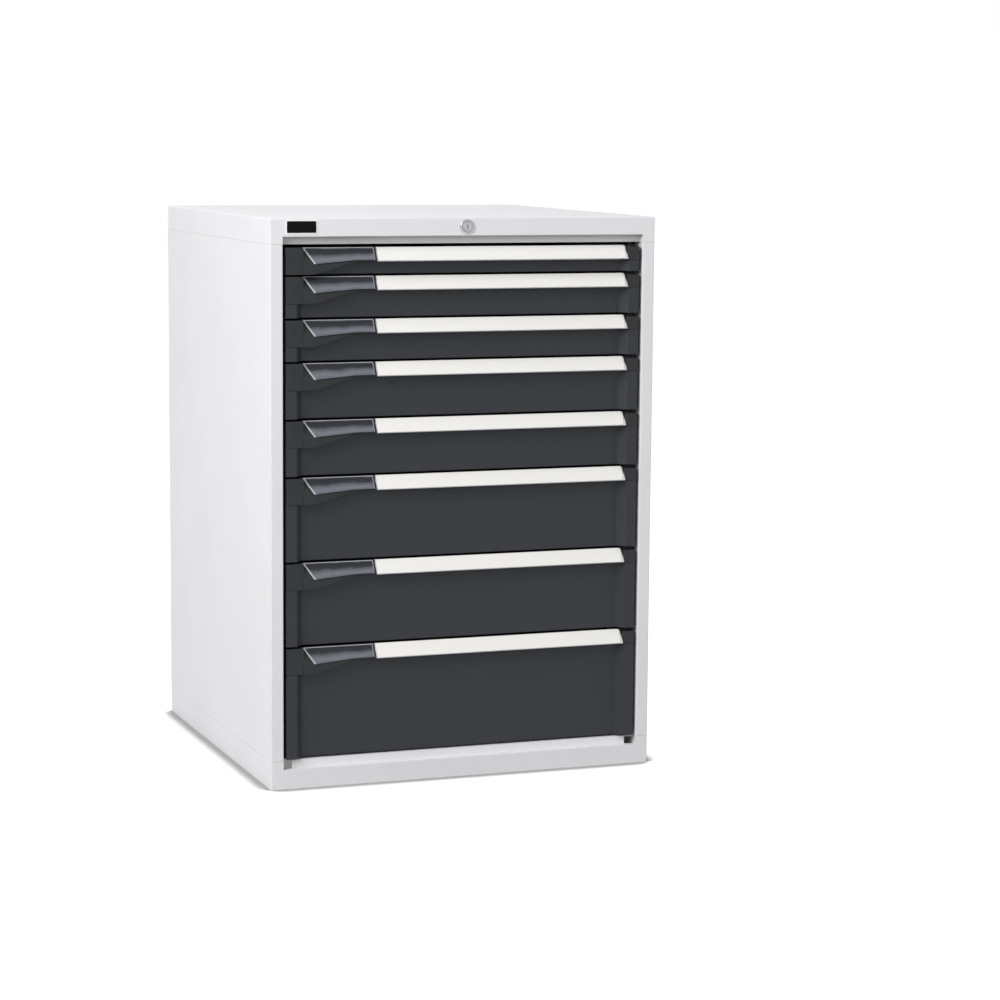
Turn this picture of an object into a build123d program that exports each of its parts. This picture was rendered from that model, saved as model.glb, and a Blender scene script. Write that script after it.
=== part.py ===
from build123d import *
from math import atan2, cos, degrees, sin
import os

# Cabinet outside sizes, in millimetres. X runs to the right, Y into the cabinet and Z up.
# The origin is on the floor, below the centre of the cabinet with its handles.
cabinet_width = 717.0
cabinet_depth = 725.0
front_proud = 4.0
drawer_heights = (50.0, 75.0, 75.0, 100.0, 100.0, 150.0, 150.0, 200.0)
base_height = 50.0
head_height = 50.0

# Folded steel housing
sheet = 1.5
post_width = 23.0
post_depth = 40.0
cap_height = 45.0
top_rail_height = 31.5
base_rail_height = 35.0
rail_recess = 12.0
rail_flange = 20.0
base_flange = 30.0
base_notch_width = 18.0
base_notch_depth = 20.0
panel_flange = 20.0
panel_flange_start = 70.0
fold_gap = 0.5
fold_radius = 2.0

# Bolts that join the side panels to the base and to the cap
bolt_radius = 3.0
bolt_hole_radius = 3.3
bolt_head_radius = 5.0
bolt_head_height = 3.0
nut_height = 4.0
nut_bore_clearance = 0.05
bolts_per_flange = 3
bolt_end_margin = 80.0

# Uprights that carry the runners
upright_width = 40.0
upright_depth = 22.0
upright_front = 60.0
upright_rear = 600.0
slot_pitch = 25.0
slot_width = 6.0
slot_height = 12.0

# Telescopic slides: a cabinet runner, a middle member with rollers, a channel on the tray
runner_start = 50.0
runner_length = 600.0
runner_depth = 11.0
runner_sheet = 1.2
runner_cavity = 14.0
runner_gap = 1.5
runner_centre = 22.0
member_thickness = 3.0
member_height = 24.0
roller_clearance = 0.3
roller_spacing = 240.0
roller_end_margin = 10.0
roller_pin_radius = 2.5
roller_pin_play = 0.05
roller_head_radius = 4.0
roller_head_height = 0.6

# Drawer tray and front
tray_depth = 612.0
tray_sheet = 1.0
tray_floor_clearance = 6.0
tray_top_clearance = 9.0
front_sheet = 1.2
front_top_gap = 0.5
front_gap = 3.5
front_side_gap = 5.5
front_recess = 17.0
strip_setback = 2.0
strip_width = 19.5
slope_width = 12.5
front_hem = 10.0

# Handle rail, label and the moulded caps at its ends
handle_height = 24.0
handle_radius = 90.0
handle_sheet = 1.8
handle_flange = 14.0
handle_end_gap = 1.5
label_thickness = 0.8
label_margin = 0.03
label_end_gap = 2.0
grip_cap_width = 164.5
cap_setback = 1.0
cap_wall = 2.2
cap_rise_start = 51.5
cap_rise_end = 126.0
cap_rise_soft = 9.0
right_cap_width = 22.0
right_cap_drop = 2.5
cap_chamfer = 1.5
strip_handle_gap = 1.5

# Thumb catch in the left cap, seen as a slanted plate
catch_left = 31.5
catch_right_gap = 3.5
catch_height = 28.0
catch_end_height = 22.0
catch_top_depth = 11.0
catch_foot = 50.0
catch_step = 125.0
catch_thickness = 2.5
catch_clearance = 0.3
catch_pin_radius = 1.0
catch_pin_play = 0.05
catch_pin_length = 2.5

# Central lock in the top rail
lock_height = 15.5
lock_rim_radius = 13.0
lock_rim_height = 2.5
lock_body_radius = 9.0
lock_hole_clearance = 0.2
plug_radius = 7.5
plug_clearance = 0.05
plug_proud = 1.0
lock_body_length = 32.0
keyhole_width = 1.8
keyhole_height = 8.0
keyhole_depth = 5.0
cam_thickness = 2.0
cam_width = 12.0
cam_pin_radius = 2.5
cam_throw = 12.0
cam_play = 0.3
cam_pin_proud = 1.5
lock_bar_sheet = 2.0
lock_bar_width = 16.0
lock_bar_play = 0.3
lock_arm_height = 20.0
lock_arm_end = 24.0
lock_slot_clearance = 3.2

# Blank name plate on the top rail
plate_width = 56.0
plate_height = 23.5
plate_thickness = 1.0
plate_corner = 3.0
plate_rim = 1.6
plate_field_depth = 0.4
plate_inset = 28.5
plate_drop = 3.2

# Places that several pieces share
half_width = cabinet_width / 2
front_y = -cabinet_depth / 2 + front_proud
back_y = cabinet_depth / 2
drawers_top = base_height + sum(drawer_heights)
cabinet_height = drawers_top + head_height
cap_bottom = cabinet_height - cap_height
rail_bottom = cabinet_height - top_rail_height
opening_half = half_width - post_width
panel_inside = half_width - sheet
post_back = front_y + post_depth
flange_length = back_y - sheet - panel_flange - front_y - panel_flange_start
flange_middle_y = front_y + panel_flange_start + flange_length / 2
flange_middle_x = panel_inside - panel_flange / 2
bolt_pitch = (flange_length - 2 * bolt_end_margin) / (bolts_per_flange - 1)

runner_back = panel_inside - upright_depth
runner_mouth = runner_back - runner_depth
member_outer = runner_mouth - runner_gap
member_inner = member_outer - member_thickness
channel_mouth = member_inner - runner_gap
tray_half = channel_mouth - runner_depth
runner_outer_height = runner_cavity + 2 * runner_sheet
roller_radius = runner_cavity / 2 - roller_clearance
roller_reach = runner_gap + runner_depth - runner_sheet - roller_clearance
roller_width = roller_reach - 2 * roller_clearance - roller_head_height
front_half = opening_half - front_side_gap
panel_face_y = front_y + front_recess
tray_front_y = panel_face_y + front_sheet
grip_cap_end = -front_half + grip_cap_width
catch_foot_y = front_y - front_proud
catch_lean = (front_y + catch_top_depth - catch_foot_y) / catch_height
catch_angle = atan2(catch_lean, 1)
catch_axis_y = front_y + catch_top_depth + catch_thickness / 2 * (cos(catch_angle) - sin(catch_angle))
catch_axis_drop = catch_thickness / 2 * (cos(catch_angle) + sin(catch_angle))
catch_start = catch_left - front_half + catch_clearance
catch_end = grip_cap_end - catch_right_gap
grip_cap_height = min(drawer_heights) - front_gap
right_cap_start = front_half - right_cap_width
right_cap_height = handle_height + strip_handle_gap
lock_z = cabinet_height - lock_height


def folded_section(points, thickness):
    """The section of folded sheet along the points, thick to the left where thickness is positive."""
    corners = [Vector(*point) for point in points]
    normals = [(end - start).normalized().rotate(Axis.Z, 90) for start, end in zip(corners, corners[1:])]
    far_side = [corners[0] + normals[0] * thickness]
    for corner, before, after in zip(corners[1:], normals, normals[1:]):
        far_side.append(corner + (before + after) * (thickness / (1 + before.dot(after))))
    far_side.append(corners[-1] + normals[-1] * thickness)
    with BuildSketch() as section:
        with BuildLine():
            Polyline(*corners, *reversed(far_side), close=True)
        make_face()
    return section.sketch


def block(x_range, y_range, z_range, mode=Mode.ADD):
    """Add or cut a block between three pairs of limits."""
    middle = [(low + high) / 2 for low, high in (x_range, y_range, z_range)]
    with Locations(tuple(middle)):
        Box(x_range[1] - x_range[0], y_range[1] - y_range[0], z_range[1] - z_range[0], mode=mode)


def fold_edges(builder, x, y):
    """The upright edges of a part that stand at one point of its plan."""
    return builder.edges().filter_by(Axis.Z).filter_by(
        lambda edge: abs(edge.center().X - x) + abs(edge.center().Y - y) < fold_gap)


def save(piece, name):
    """Label a finished piece and write it as its own file."""
    piece.label = name
    export_step(piece, f"parts/{name}.step")


os.makedirs("parts", exist_ok=True)

# Base: a floor pan with turned-down walls, a low front rail and a recessed lip
with BuildPart() as base:
    block((-half_width, half_width), (front_y, back_y), (0, base_height))
    fillet(base.edges().filter_by(Axis.Z), fold_radius)
    block((-panel_inside, panel_inside), (front_y + sheet, back_y - sheet), (sheet, base_height - sheet),
          Mode.SUBTRACT)
    block((base_flange - half_width, half_width - base_flange),
          (front_y + base_flange, back_y - base_flange), (0, sheet), Mode.SUBTRACT)
    block((-opening_half, opening_half), (front_y, front_y + rail_recess),
          (base_rail_height, base_height), Mode.SUBTRACT)
    block((-opening_half, opening_half), (front_y, front_y + rail_recess + sheet),
          (base_rail_height - sheet, base_rail_height))
    block((base_notch_width - opening_half, opening_half - base_notch_width),
          (front_y + rail_recess, front_y + rail_recess + sheet), (base_rail_height, base_height))
    for side in (-1, 1):
        post_walls = sorted((side * opening_half, side * (opening_half + sheet)))
        notch = sorted((side * (opening_half - base_notch_width), side * opening_half))
        block(post_walls, (front_y, front_y + rail_recess + base_notch_depth),
              (base_rail_height - sheet, base_height))
        block(notch, (front_y + rail_recess + sheet, front_y + rail_recess + base_notch_depth),
              (base_rail_height, base_height), Mode.SUBTRACT)
    with Locations(Plane.XY.offset(base_height)):
        with Locations((-flange_middle_x, flange_middle_y), (flange_middle_x, flange_middle_y)):
            with GridLocations(1, bolt_pitch, 1, bolts_per_flange):
                Hole(bolt_hole_radius, depth=2 * sheet)
save(base.part, "base")

# Side panels: one folded sheet each, with the front post, the rear flange and bolted flanges
with BuildPart() as side_panel_right:
    with BuildSketch(Plane.XY.offset(base_height)):
        add(folded_section(
            [
                (half_width - panel_flange, back_y - sheet),
                (half_width, back_y - sheet),
                (half_width, front_y),
                (opening_half, front_y),
                (opening_half, post_back),
                (panel_inside - fold_gap, post_back),
            ],
            -sheet,
        ))
    extrude(amount=cap_bottom - base_height)
    fillet(fold_edges(side_panel_right, half_width, front_y), fold_radius)
    fillet(fold_edges(side_panel_right, opening_half, front_y), fold_radius)
    for flange_z in (base_height, cap_bottom - sheet):
        block((panel_inside - panel_flange, panel_inside + sheet / 2),
              (flange_middle_y - flange_length / 2, flange_middle_y + flange_length / 2),
              (flange_z, flange_z + sheet))
        with Locations(Plane.XY.offset(flange_z + sheet)):
            with Locations((flange_middle_x, flange_middle_y)):
                with GridLocations(1, bolt_pitch, 1, bolts_per_flange):
                    Hole(bolt_hole_radius, depth=2 * sheet)
save(side_panel_right.part, "side_panel_right")
save(mirror(side_panel_right.part, about=Plane.YZ), "side_panel_left")

# Rear panel, lying on the rear flanges of the side panels
with BuildPart() as rear_panel:
    block((-half_width, half_width), (back_y - sheet, back_y), (base_height, cap_bottom))
save(rear_panel.part, "rear_panel")

# Cap: the top sheet with its skirt, the front rail and the recessed lip below it
with BuildPart() as top_panel:
    block((-half_width, half_width), (front_y, back_y), (cap_bottom, cabinet_height))
    upper_edges = top_panel.faces().sort_by(Axis.Z)[-1].edges()
    fillet(top_panel.edges().filter_by(Axis.Z) + upper_edges, fold_radius)
    block((-panel_inside, panel_inside), (front_y + sheet, back_y - sheet),
          (cap_bottom, cabinet_height - sheet), Mode.SUBTRACT)
    block((-opening_half, opening_half), (front_y, front_y + sheet), (cap_bottom, rail_bottom),
          Mode.SUBTRACT)
    block((-opening_half, opening_half), (front_y, front_y + rail_recess + sheet),
          (rail_bottom, rail_bottom + sheet))
    block((-opening_half - sheet, opening_half + sheet),
          (front_y + rail_recess, front_y + rail_recess + sheet), (cap_bottom, rail_bottom + sheet))
    block((-opening_half, opening_half), (front_y + rail_recess, front_y + rail_recess + rail_flange),
          (cap_bottom, cap_bottom + sheet))
    for side in (-1, 1):
        post_walls = sorted((side * opening_half, side * (opening_half + sheet)))
        flange = sorted((side * (panel_inside - panel_flange), side * (panel_inside + sheet / 2)))
        block(post_walls, (front_y, front_y + rail_recess + sheet), (cap_bottom, rail_bottom + sheet))
        block(flange, (flange_middle_y - flange_length / 2, flange_middle_y + flange_length / 2),
              (cap_bottom, cap_bottom + sheet))
    with Locations(Plane.XY.offset(cap_bottom + sheet)):
        with Locations((-flange_middle_x, flange_middle_y), (flange_middle_x, flange_middle_y)):
            with GridLocations(1, bolt_pitch, 1, bolts_per_flange):
                Hole(bolt_hole_radius, depth=2 * sheet)
    with Locations(Plane.XZ.offset(-front_y)):
        with Locations((0, lock_z)):
            Hole(lock_body_radius + lock_hole_clearance, depth=2 * sheet)
save(top_panel.part, "top_panel")

# Bolts and nuts, one pair through each pair of flanges
with BuildPart() as flange_bolts:
    for seam_z in (base_height, cap_bottom):
        with BuildSketch(Plane.XY.offset(seam_z + sheet)) as heads:
            with Locations((-flange_middle_x, flange_middle_y), (flange_middle_x, flange_middle_y)):
                with GridLocations(1, bolt_pitch, 1, bolts_per_flange):
                    RegularPolygon(bolt_head_radius, 6)
        extrude(amount=bolt_head_height)
        with BuildSketch(Plane.XY.offset(seam_z + sheet)) as shanks:
            with Locations((-flange_middle_x, flange_middle_y), (flange_middle_x, flange_middle_y)):
                with GridLocations(1, bolt_pitch, 1, bolts_per_flange):
                    Circle(bolt_radius)
        extrude(amount=-2 * sheet - nut_height)
        with BuildSketch(Plane.XY.offset(seam_z - sheet)) as nuts:
            with Locations((-flange_middle_x, flange_middle_y), (flange_middle_x, flange_middle_y)):
                with GridLocations(1, bolt_pitch, 1, bolts_per_flange):
                    RegularPolygon(bolt_head_radius, 6)
                    Circle(bolt_radius + nut_bore_clearance, mode=Mode.SUBTRACT)
        extrude(amount=-nut_height)
save(flange_bolts.part, "flange_bolts")

# Uprights: four perforated channels between the base and the cap flanges
upright_bottom = base_height + sheet
upright_height = cap_bottom - sheet - upright_bottom
slots_up = int((upright_height - slot_pitch) // slot_pitch)
with BuildPart() as runner_uprights:
    for side in (-1, 1):
        for upright_y in (front_y + upright_front, front_y + upright_rear - upright_width):
            with BuildSketch(Plane.XY.offset(upright_bottom)):
                add(folded_section(
                    [
                        (side * panel_inside, upright_y),
                        (side * runner_back, upright_y),
                        (side * runner_back, upright_y + upright_width),
                        (side * panel_inside, upright_y + upright_width),
                    ],
                    -side * sheet,
                ))
            extrude(amount=upright_height)
            with BuildSketch(Plane.YZ.offset(side * runner_back)):
                with Locations((upright_y + upright_width / 2, upright_bottom + upright_height / 2)):
                    with GridLocations(1, slot_pitch, 1, slots_up):
                        Rectangle(slot_width, slot_height)
            extrude(amount=side * sheet, mode=Mode.SUBTRACT)
save(runner_uprights.part, "runner_uprights")

# Heights of the drawer modules, from the top one down
module_bottoms = [drawers_top - sum(drawer_heights[:place + 1]) for place in range(len(drawer_heights))]

# Cabinet runners: a pair of channels for each drawer, seated on the uprights
with BuildPart() as cabinet_runners:
    for module_bottom in module_bottoms:
        runner_z = module_bottom + runner_centre
        with BuildSketch(Plane.XZ.offset(-front_y - runner_start)):
            for side in (-1, 1):
                add(folded_section(
                    [
                        (side * runner_mouth, runner_z + runner_outer_height / 2),
                        (side * runner_back, runner_z + runner_outer_height / 2),
                        (side * runner_back, runner_z - runner_outer_height / 2),
                        (side * runner_mouth, runner_z - runner_outer_height / 2),
                    ],
                    -side * runner_sheet,
                ))
        extrude(amount=-runner_length)
save(cabinet_runners.part, "cabinet_runners")

# Lock housing: a rimmed barrel through the top rail
with BuildPart() as lock_housing:
    with BuildSketch(Plane.XZ.offset(-front_y)):
        with Locations((0, lock_z)):
            Circle(lock_rim_radius)
    extrude(amount=lock_rim_height)
    fillet(lock_housing.faces().sort_by(Axis.Y)[0].edges(), lock_rim_height / 2)
    with BuildSketch(Plane.XZ.offset(-front_y)):
        with Locations((0, lock_z)):
            Circle(lock_body_radius)
    extrude(amount=-lock_body_length)
    with BuildSketch(Plane.XZ.offset(-front_y + lock_rim_height)):
        with Locations((0, lock_z)):
            Circle(plug_radius + plug_clearance)
    extrude(amount=-lock_rim_height - lock_body_length, mode=Mode.SUBTRACT)
save(lock_housing.part, "lock_housing")

# Locking bar: an arm over the drawers, hung on the cam pin, and a bar down behind the right post
bar_front_y = post_back + lock_bar_play
bar_left = opening_half + sheet
arm_z = lock_z - cam_throw
with BuildPart() as lock_bar:
    block((bar_left, bar_left + lock_bar_width), (bar_front_y, bar_front_y + lock_bar_sheet),
          (module_bottoms[-1] + runner_centre, arm_z))
    block((-lock_arm_end, bar_left + lock_bar_width), (bar_front_y, bar_front_y + lock_bar_sheet),
          (arm_z - lock_arm_height / 2, arm_z + lock_arm_height / 2))
    with BuildSketch(Plane.XZ.offset(-bar_front_y)):
        with Locations((-cam_throw / 2, arm_z)):
            SlotCenterToCenter(cam_throw, 2 * (cam_pin_radius + lock_slot_clearance))
    extrude(amount=-lock_bar_sheet, mode=Mode.SUBTRACT)
save(lock_bar.part, "lock_bar")

# Lock plug: the turning core with its keyhole, the cam that hangs down and the cam pin
plug_front_y = front_y - lock_rim_height - plug_proud
cam_front_y = front_y + lock_body_length + cam_play
with BuildPart() as lock_plug:
    with BuildSketch(Plane.XZ.offset(-plug_front_y)):
        with Locations((0, lock_z)):
            Circle(plug_radius)
    extrude(amount=plug_front_y - cam_front_y)
    with BuildSketch(Plane.XZ.offset(-plug_front_y)):
        with Locations((0, lock_z)):
            Rectangle(keyhole_width, keyhole_height)
    extrude(amount=-keyhole_depth, mode=Mode.SUBTRACT)
    with BuildSketch(Plane.XZ.offset(-cam_front_y)):
        with Locations((0, lock_z - cam_throw / 2)):
            SlotCenterToCenter(cam_throw, cam_width, rotation=90)
    extrude(amount=-cam_thickness)
    with BuildSketch(Plane.XZ.offset(-cam_front_y)):
        with Locations((0, arm_z)):
            Circle(cam_pin_radius)
    extrude(amount=cam_front_y - bar_front_y - lock_bar_sheet - cam_pin_proud)
save(lock_plug.part, "lock_plug")

# Blank name plate with a thin rim around a sunk field
with BuildPart() as name_plate:
    with BuildSketch(Plane.XZ.offset(-front_y)):
        with Locations((-half_width + plate_inset + plate_width / 2,
                        cabinet_height - plate_drop - plate_height / 2)):
            RectangleRounded(plate_width, plate_height, plate_corner)
    extrude(amount=plate_thickness)
    with BuildSketch(Plane.XZ.offset(-front_y + plate_thickness)):
        with Locations((-half_width + plate_inset + plate_width / 2,
                        cabinet_height - plate_drop - plate_height / 2)):
            RectangleRounded(plate_width - 2 * plate_rim, plate_height - 2 * plate_rim,
                             plate_corner - plate_rim)
    extrude(amount=-plate_field_depth, mode=Mode.SUBTRACT)
save(name_plate.part, "name_plate")


def make_tray(bottom, height):
    """The folded steel drawer: tray, recessed front and the channels on its sides."""
    front_bottom = bottom + front_gap - front_top_gap
    front_top = bottom + height - front_top_gap
    strip_tops = {-1: front_top - grip_cap_height, 1: front_top - right_cap_height}
    tray_bottom = bottom + tray_floor_clearance
    tray_top = bottom + height - tray_top_clearance
    runner_z = bottom + runner_centre
    with BuildPart() as tray:
        block((-front_half, front_half), (panel_face_y, tray_front_y), (front_bottom, front_top))
        block((-front_half, front_half), (panel_face_y, panel_face_y + front_hem),
              (front_bottom, front_bottom + front_sheet))
        block((-tray_half, tray_half), (tray_front_y, tray_front_y + tray_depth + tray_sheet),
              (tray_bottom, tray_top))
        block((tray_sheet - tray_half, tray_half - tray_sheet), (tray_front_y, tray_front_y + tray_depth),
              (tray_bottom + tray_sheet, tray_top), Mode.SUBTRACT)
        with BuildSketch(Plane.XZ.offset(-tray_front_y)):
            for side in (-1, 1):
                add(folded_section(
                    [
                        (side * channel_mouth, runner_z + runner_outer_height / 2),
                        (side * tray_half, runner_z + runner_outer_height / 2),
                        (side * tray_half, runner_z - runner_outer_height / 2),
                        (side * channel_mouth, runner_z - runner_outer_height / 2),
                    ],
                    side * runner_sheet,
                ))
        extrude(amount=-runner_length)
        for side, strip_top in strip_tops.items():
            if strip_top > front_bottom + front_sheet:
                with BuildSketch(Plane.XY.offset(front_bottom)):
                    add(folded_section(
                        [
                            (side * front_half, panel_face_y),
                            (side * front_half, front_y + strip_setback),
                            (side * (front_half - strip_width), front_y + strip_setback),
                            (side * (front_half - strip_width - slope_width), panel_face_y),
                        ],
                        -side * front_sheet,
                    ))
                extrude(amount=strip_top - front_bottom)
    return tray.part


def handle_line(top):
    """Draw the arc of the handle's outer face, from its top edge to its lower edge."""
    return RadiusArc(
        (panel_face_y - handle_sheet, top),
        (front_y - front_proud + label_thickness, top - handle_height),
        -handle_radius,
        mode=Mode.PRIVATE,
    )


def make_handle(top):
    """The handle rail: a leaning grip with a lip, and a flange on the drawer front."""
    with BuildPart() as handle:
        with BuildSketch(Plane.YZ.offset(grip_cap_end)):
            with BuildLine():
                face = add(handle_line(top))
                offset(amount=handle_sheet, side=Side.LEFT)
            make_face()
            with Locations((panel_face_y - handle_sheet / 2, top - handle_flange / 2)):
                Rectangle(handle_sheet, handle_flange)
        extrude(amount=right_cap_start - grip_cap_end - handle_end_gap)
    return handle.part


def make_label(top):
    """The label strip, lying on the outer face of the handle rail."""
    with BuildPart() as label:
        with BuildSketch(Plane.YZ.offset(grip_cap_end + label_end_gap)):
            with BuildLine():
                whole = handle_line(top)
                RadiusArc(whole @ label_margin, whole @ (1 - label_margin), -handle_radius)
                offset(amount=label_thickness, side=Side.RIGHT)
            make_face()
        extrude(amount=right_cap_start - grip_cap_end - 2 * label_end_gap)
    return label.part


def make_end_caps(top):
    """The moulded grip cap at the left end of the handle and the plain cap at the right."""
    cap_foot = top - grip_cap_height
    seat_gap = (catch_thickness + catch_clearance) / cos(catch_angle)
    seat_top = front_y + catch_top_depth + seat_gap
    skirt_y = front_y - cap_setback
    skirt_top = top - (seat_top - skirt_y) / catch_lean
    pocket_gap = cap_wall / cos(catch_angle)
    pocket_top = top - (seat_top + pocket_gap - panel_face_y + cap_wall) / catch_lean
    with BuildPart() as end_caps:
        with BuildSketch(Plane.XZ.offset(-panel_face_y)):
            with BuildLine():
                rise_start = Vector(cap_rise_start - front_half, cap_foot)
                rise_end = Vector(cap_rise_end - front_half, top - handle_height)
                soft_start = rise_start - Vector(cap_rise_soft, 0)
                soft_end = rise_start + (rise_end - rise_start).normalized() * cap_rise_soft
                Polyline(soft_end, rise_end, (grip_cap_end, top - handle_height), (grip_cap_end, top),
                         (-front_half, top), (-front_half, cap_foot), soft_start)
                Bezier(soft_start, rise_start, soft_end)
            make_face()
        extrude(amount=panel_face_y - front_y + front_proud)
        block((-front_half, catch_left - front_half), (front_y - front_proud, front_y + cap_setback),
              (cap_foot, top), Mode.SUBTRACT)
        with BuildSketch(Plane.YZ.offset(catch_left - front_half)):
            with BuildLine():
                Polyline((seat_top, top), (skirt_y, skirt_top), (skirt_y, cap_foot),
                         (catch_foot_y, cap_foot), (catch_foot_y, top), close=True)
            make_face()
        extrude(amount=catch_end + catch_clearance + front_half - catch_left, mode=Mode.SUBTRACT)
        with BuildSketch(Plane.YZ.offset(catch_end + catch_clearance)):
            with BuildLine():
                Polyline((front_y + catch_top_depth, top), (catch_foot_y, top - catch_height),
                         (catch_foot_y, top), close=True)
            make_face()
        extrude(amount=grip_cap_end - catch_end - catch_clearance, mode=Mode.SUBTRACT)
        with BuildSketch(Plane.YZ.offset(catch_start - catch_clearance - catch_pin_length)):
            with Locations((catch_axis_y, top - catch_axis_drop)):
                Circle(catch_pin_radius + catch_pin_play)
        extrude(amount=catch_end - catch_start + 2 * (catch_clearance + catch_pin_length),
                mode=Mode.SUBTRACT)
        with BuildSketch(Plane.YZ.offset(catch_left + cap_wall - front_half)):
            with BuildLine():
                Polyline((panel_face_y - cap_wall, pocket_top), (skirt_y + cap_wall, skirt_top),
                         (skirt_y + cap_wall, cap_foot), (panel_face_y - cap_wall, cap_foot), close=True)
            make_face()
        extrude(amount=grip_cap_width - catch_left - 2 * cap_wall, mode=Mode.SUBTRACT)
        with BuildSketch(Plane.YZ.offset(right_cap_start)):
            with BuildLine():
                cap_top = top - right_cap_drop
                Polyline((panel_face_y, cap_top), (front_y + cap_setback + cap_chamfer, cap_top),
                         (front_y + cap_setback, cap_top - cap_chamfer),
                         (front_y + cap_setback, top - right_cap_height),
                         (panel_face_y, top - right_cap_height), close=True)
            make_face()
        extrude(amount=right_cap_width)
    return end_caps.part


def make_catch(top):
    """The thumb catch: a leaning plate with a round top edge, swinging on a pin at each end."""
    with BuildPart() as catch:
        with BuildSketch(Plane.YZ.offset(catch_start)):
            with Locations((catch_axis_y, top - catch_axis_drop)):
                Rectangle(catch_thickness, catch_height / cos(catch_angle),
                          rotation=-degrees(catch_angle), align=(Align.CENTER, Align.MAX))
        extrude(amount=catch_end - catch_start)
        with BuildSketch(Plane.XZ.offset(-panel_face_y)):
            with BuildLine():
                Polyline((catch_start, top), (catch_end, top), (catch_end, top - catch_end_height),
                         (catch_step - front_half, top - catch_end_height),
                         (catch_foot - front_half, top - catch_height), close=True)
            make_face()
        extrude(amount=panel_face_y - catch_foot_y + catch_thickness, mode=Mode.INTERSECT)
        with BuildSketch(Plane.YZ.offset(catch_start)):
            with Locations((catch_axis_y, top - catch_axis_drop)):
                Circle(catch_thickness / 2)
        extrude(amount=catch_end - catch_start)
        with BuildSketch(Plane.YZ.offset(catch_start - catch_pin_length)):
            with Locations((catch_axis_y, top - catch_axis_drop)):
                Circle(catch_pin_radius)
        extrude(amount=catch_end - catch_start + 2 * catch_pin_length)
    return catch.part


def make_slides(bottom):
    """The middle members of a drawer's two slides, each with rollers on pins on either side."""
    runner_z = bottom + runner_centre
    front_end = front_y + runner_start
    rear_end = front_end + runner_length
    inner_rollers = (front_end + roller_end_margin, front_end + roller_end_margin + roller_spacing)
    outer_rollers = (rear_end - roller_end_margin, rear_end - roller_end_margin - roller_spacing)
    with BuildPart() as slides:
        for side in (-1, 1):
            member = sorted((side * member_inner, side * member_outer))
            block(member, (front_end, rear_end),
                  (runner_z - member_height / 2, runner_z + member_height / 2))
            for face_x, direction, rollers in ((member_inner, -side, inner_rollers),
                                               (member_outer, side, outer_rollers)):
                spots = [(roller_y, runner_z) for roller_y in rollers]
                with BuildSketch(Plane.YZ.offset(side * face_x)):
                    with Locations(*spots):
                        Circle(roller_pin_radius)
                extrude(amount=direction * roller_reach)
                head_x = side * face_x + direction * (roller_reach - roller_head_height)
                with BuildSketch(Plane.YZ.offset(head_x)):
                    with Locations(*spots):
                        Circle(roller_head_radius)
                extrude(amount=direction * roller_head_height)
                with BuildSketch(Plane.YZ.offset(side * face_x + direction * roller_clearance)):
                    with Locations(*spots):
                        Circle(roller_radius)
                        Circle(roller_pin_radius + roller_pin_play, mode=Mode.SUBTRACT)
                extrude(amount=direction * roller_width)
    return slides.part


for number, (module_bottom, module_height) in enumerate(zip(module_bottoms, drawer_heights), start=1):
    front_top = module_bottom + module_height - front_top_gap
    save(make_tray(module_bottom, module_height), f"drawer_{number}_tray")
    save(make_handle(front_top), f"drawer_{number}_handle")
    save(make_label(front_top), f"drawer_{number}_label")
    save(make_end_caps(front_top), f"drawer_{number}_end_caps")
    save(make_catch(front_top), f"drawer_{number}_catch")
    save(make_slides(module_bottom), f"drawer_{number}_slides")
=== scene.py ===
"""Looks of a floor-standing workshop cabinet with eight drawers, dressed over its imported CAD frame."""

import logging
import math
from dataclasses import dataclass, field
from enum import Enum

import bmesh
import bpy
from bpy.types import Material, Node, NodeSocket, NodeTree, Object
from mathutils import Matrix, Vector


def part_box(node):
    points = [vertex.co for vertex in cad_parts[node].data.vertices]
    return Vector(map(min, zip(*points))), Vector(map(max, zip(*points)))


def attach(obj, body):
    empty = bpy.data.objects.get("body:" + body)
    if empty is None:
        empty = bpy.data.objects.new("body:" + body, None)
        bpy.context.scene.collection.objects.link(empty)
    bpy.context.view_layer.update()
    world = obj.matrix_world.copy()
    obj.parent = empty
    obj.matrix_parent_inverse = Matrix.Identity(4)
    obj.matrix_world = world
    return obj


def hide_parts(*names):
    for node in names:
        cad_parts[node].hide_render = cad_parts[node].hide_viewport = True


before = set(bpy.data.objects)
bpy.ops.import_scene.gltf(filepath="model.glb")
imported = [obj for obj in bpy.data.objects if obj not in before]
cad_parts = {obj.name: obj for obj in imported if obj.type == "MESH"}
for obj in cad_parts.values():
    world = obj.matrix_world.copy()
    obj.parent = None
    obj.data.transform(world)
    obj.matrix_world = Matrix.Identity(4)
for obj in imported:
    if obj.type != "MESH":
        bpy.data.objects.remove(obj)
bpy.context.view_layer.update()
log = logging.getLogger("cabinet")

DRAWER_COUNT = 8
MERGE_DISTANCE = 1e-6
# A noise texture's values lie between these
NOISE_SPAN = {"From Min": 0.3, "From Max": 0.7}


class Coat(Enum):
    """The colours that this cabinet's steel is powder coated in."""

    PALE_GREY = "#e6e6e8"
    # Not a colour of the coat: painted shade for the recessed lip under the top rail, which lies in the
    # rail's shadow
    LIP_PAINTED_SHADE = "#c6c6c7"
    ANTHRACITE = "#282a2e"


class Side(Enum):
    """The two sides of the cabinet, as the sign of X."""

    LEFT = -1
    RIGHT = 1


def linear(colour: str) -> tuple[float, float, float, float]:
    """Turn an sRGB hex colour into a linear one with full alpha.

    Args:
        colour: The colour, such as "#e6e6e8".

    Returns:
        Red, green, blue and alpha.
    """
    channels = [int(colour[place:place + 2], 16) / 255 for place in (1, 3, 5)]
    red, green, blue = (c / 12.92 if c <= 0.04045 else ((c + 0.055) / 1.055) ** 2.4 for c in channels)
    return red, green, blue, 1.0


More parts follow.
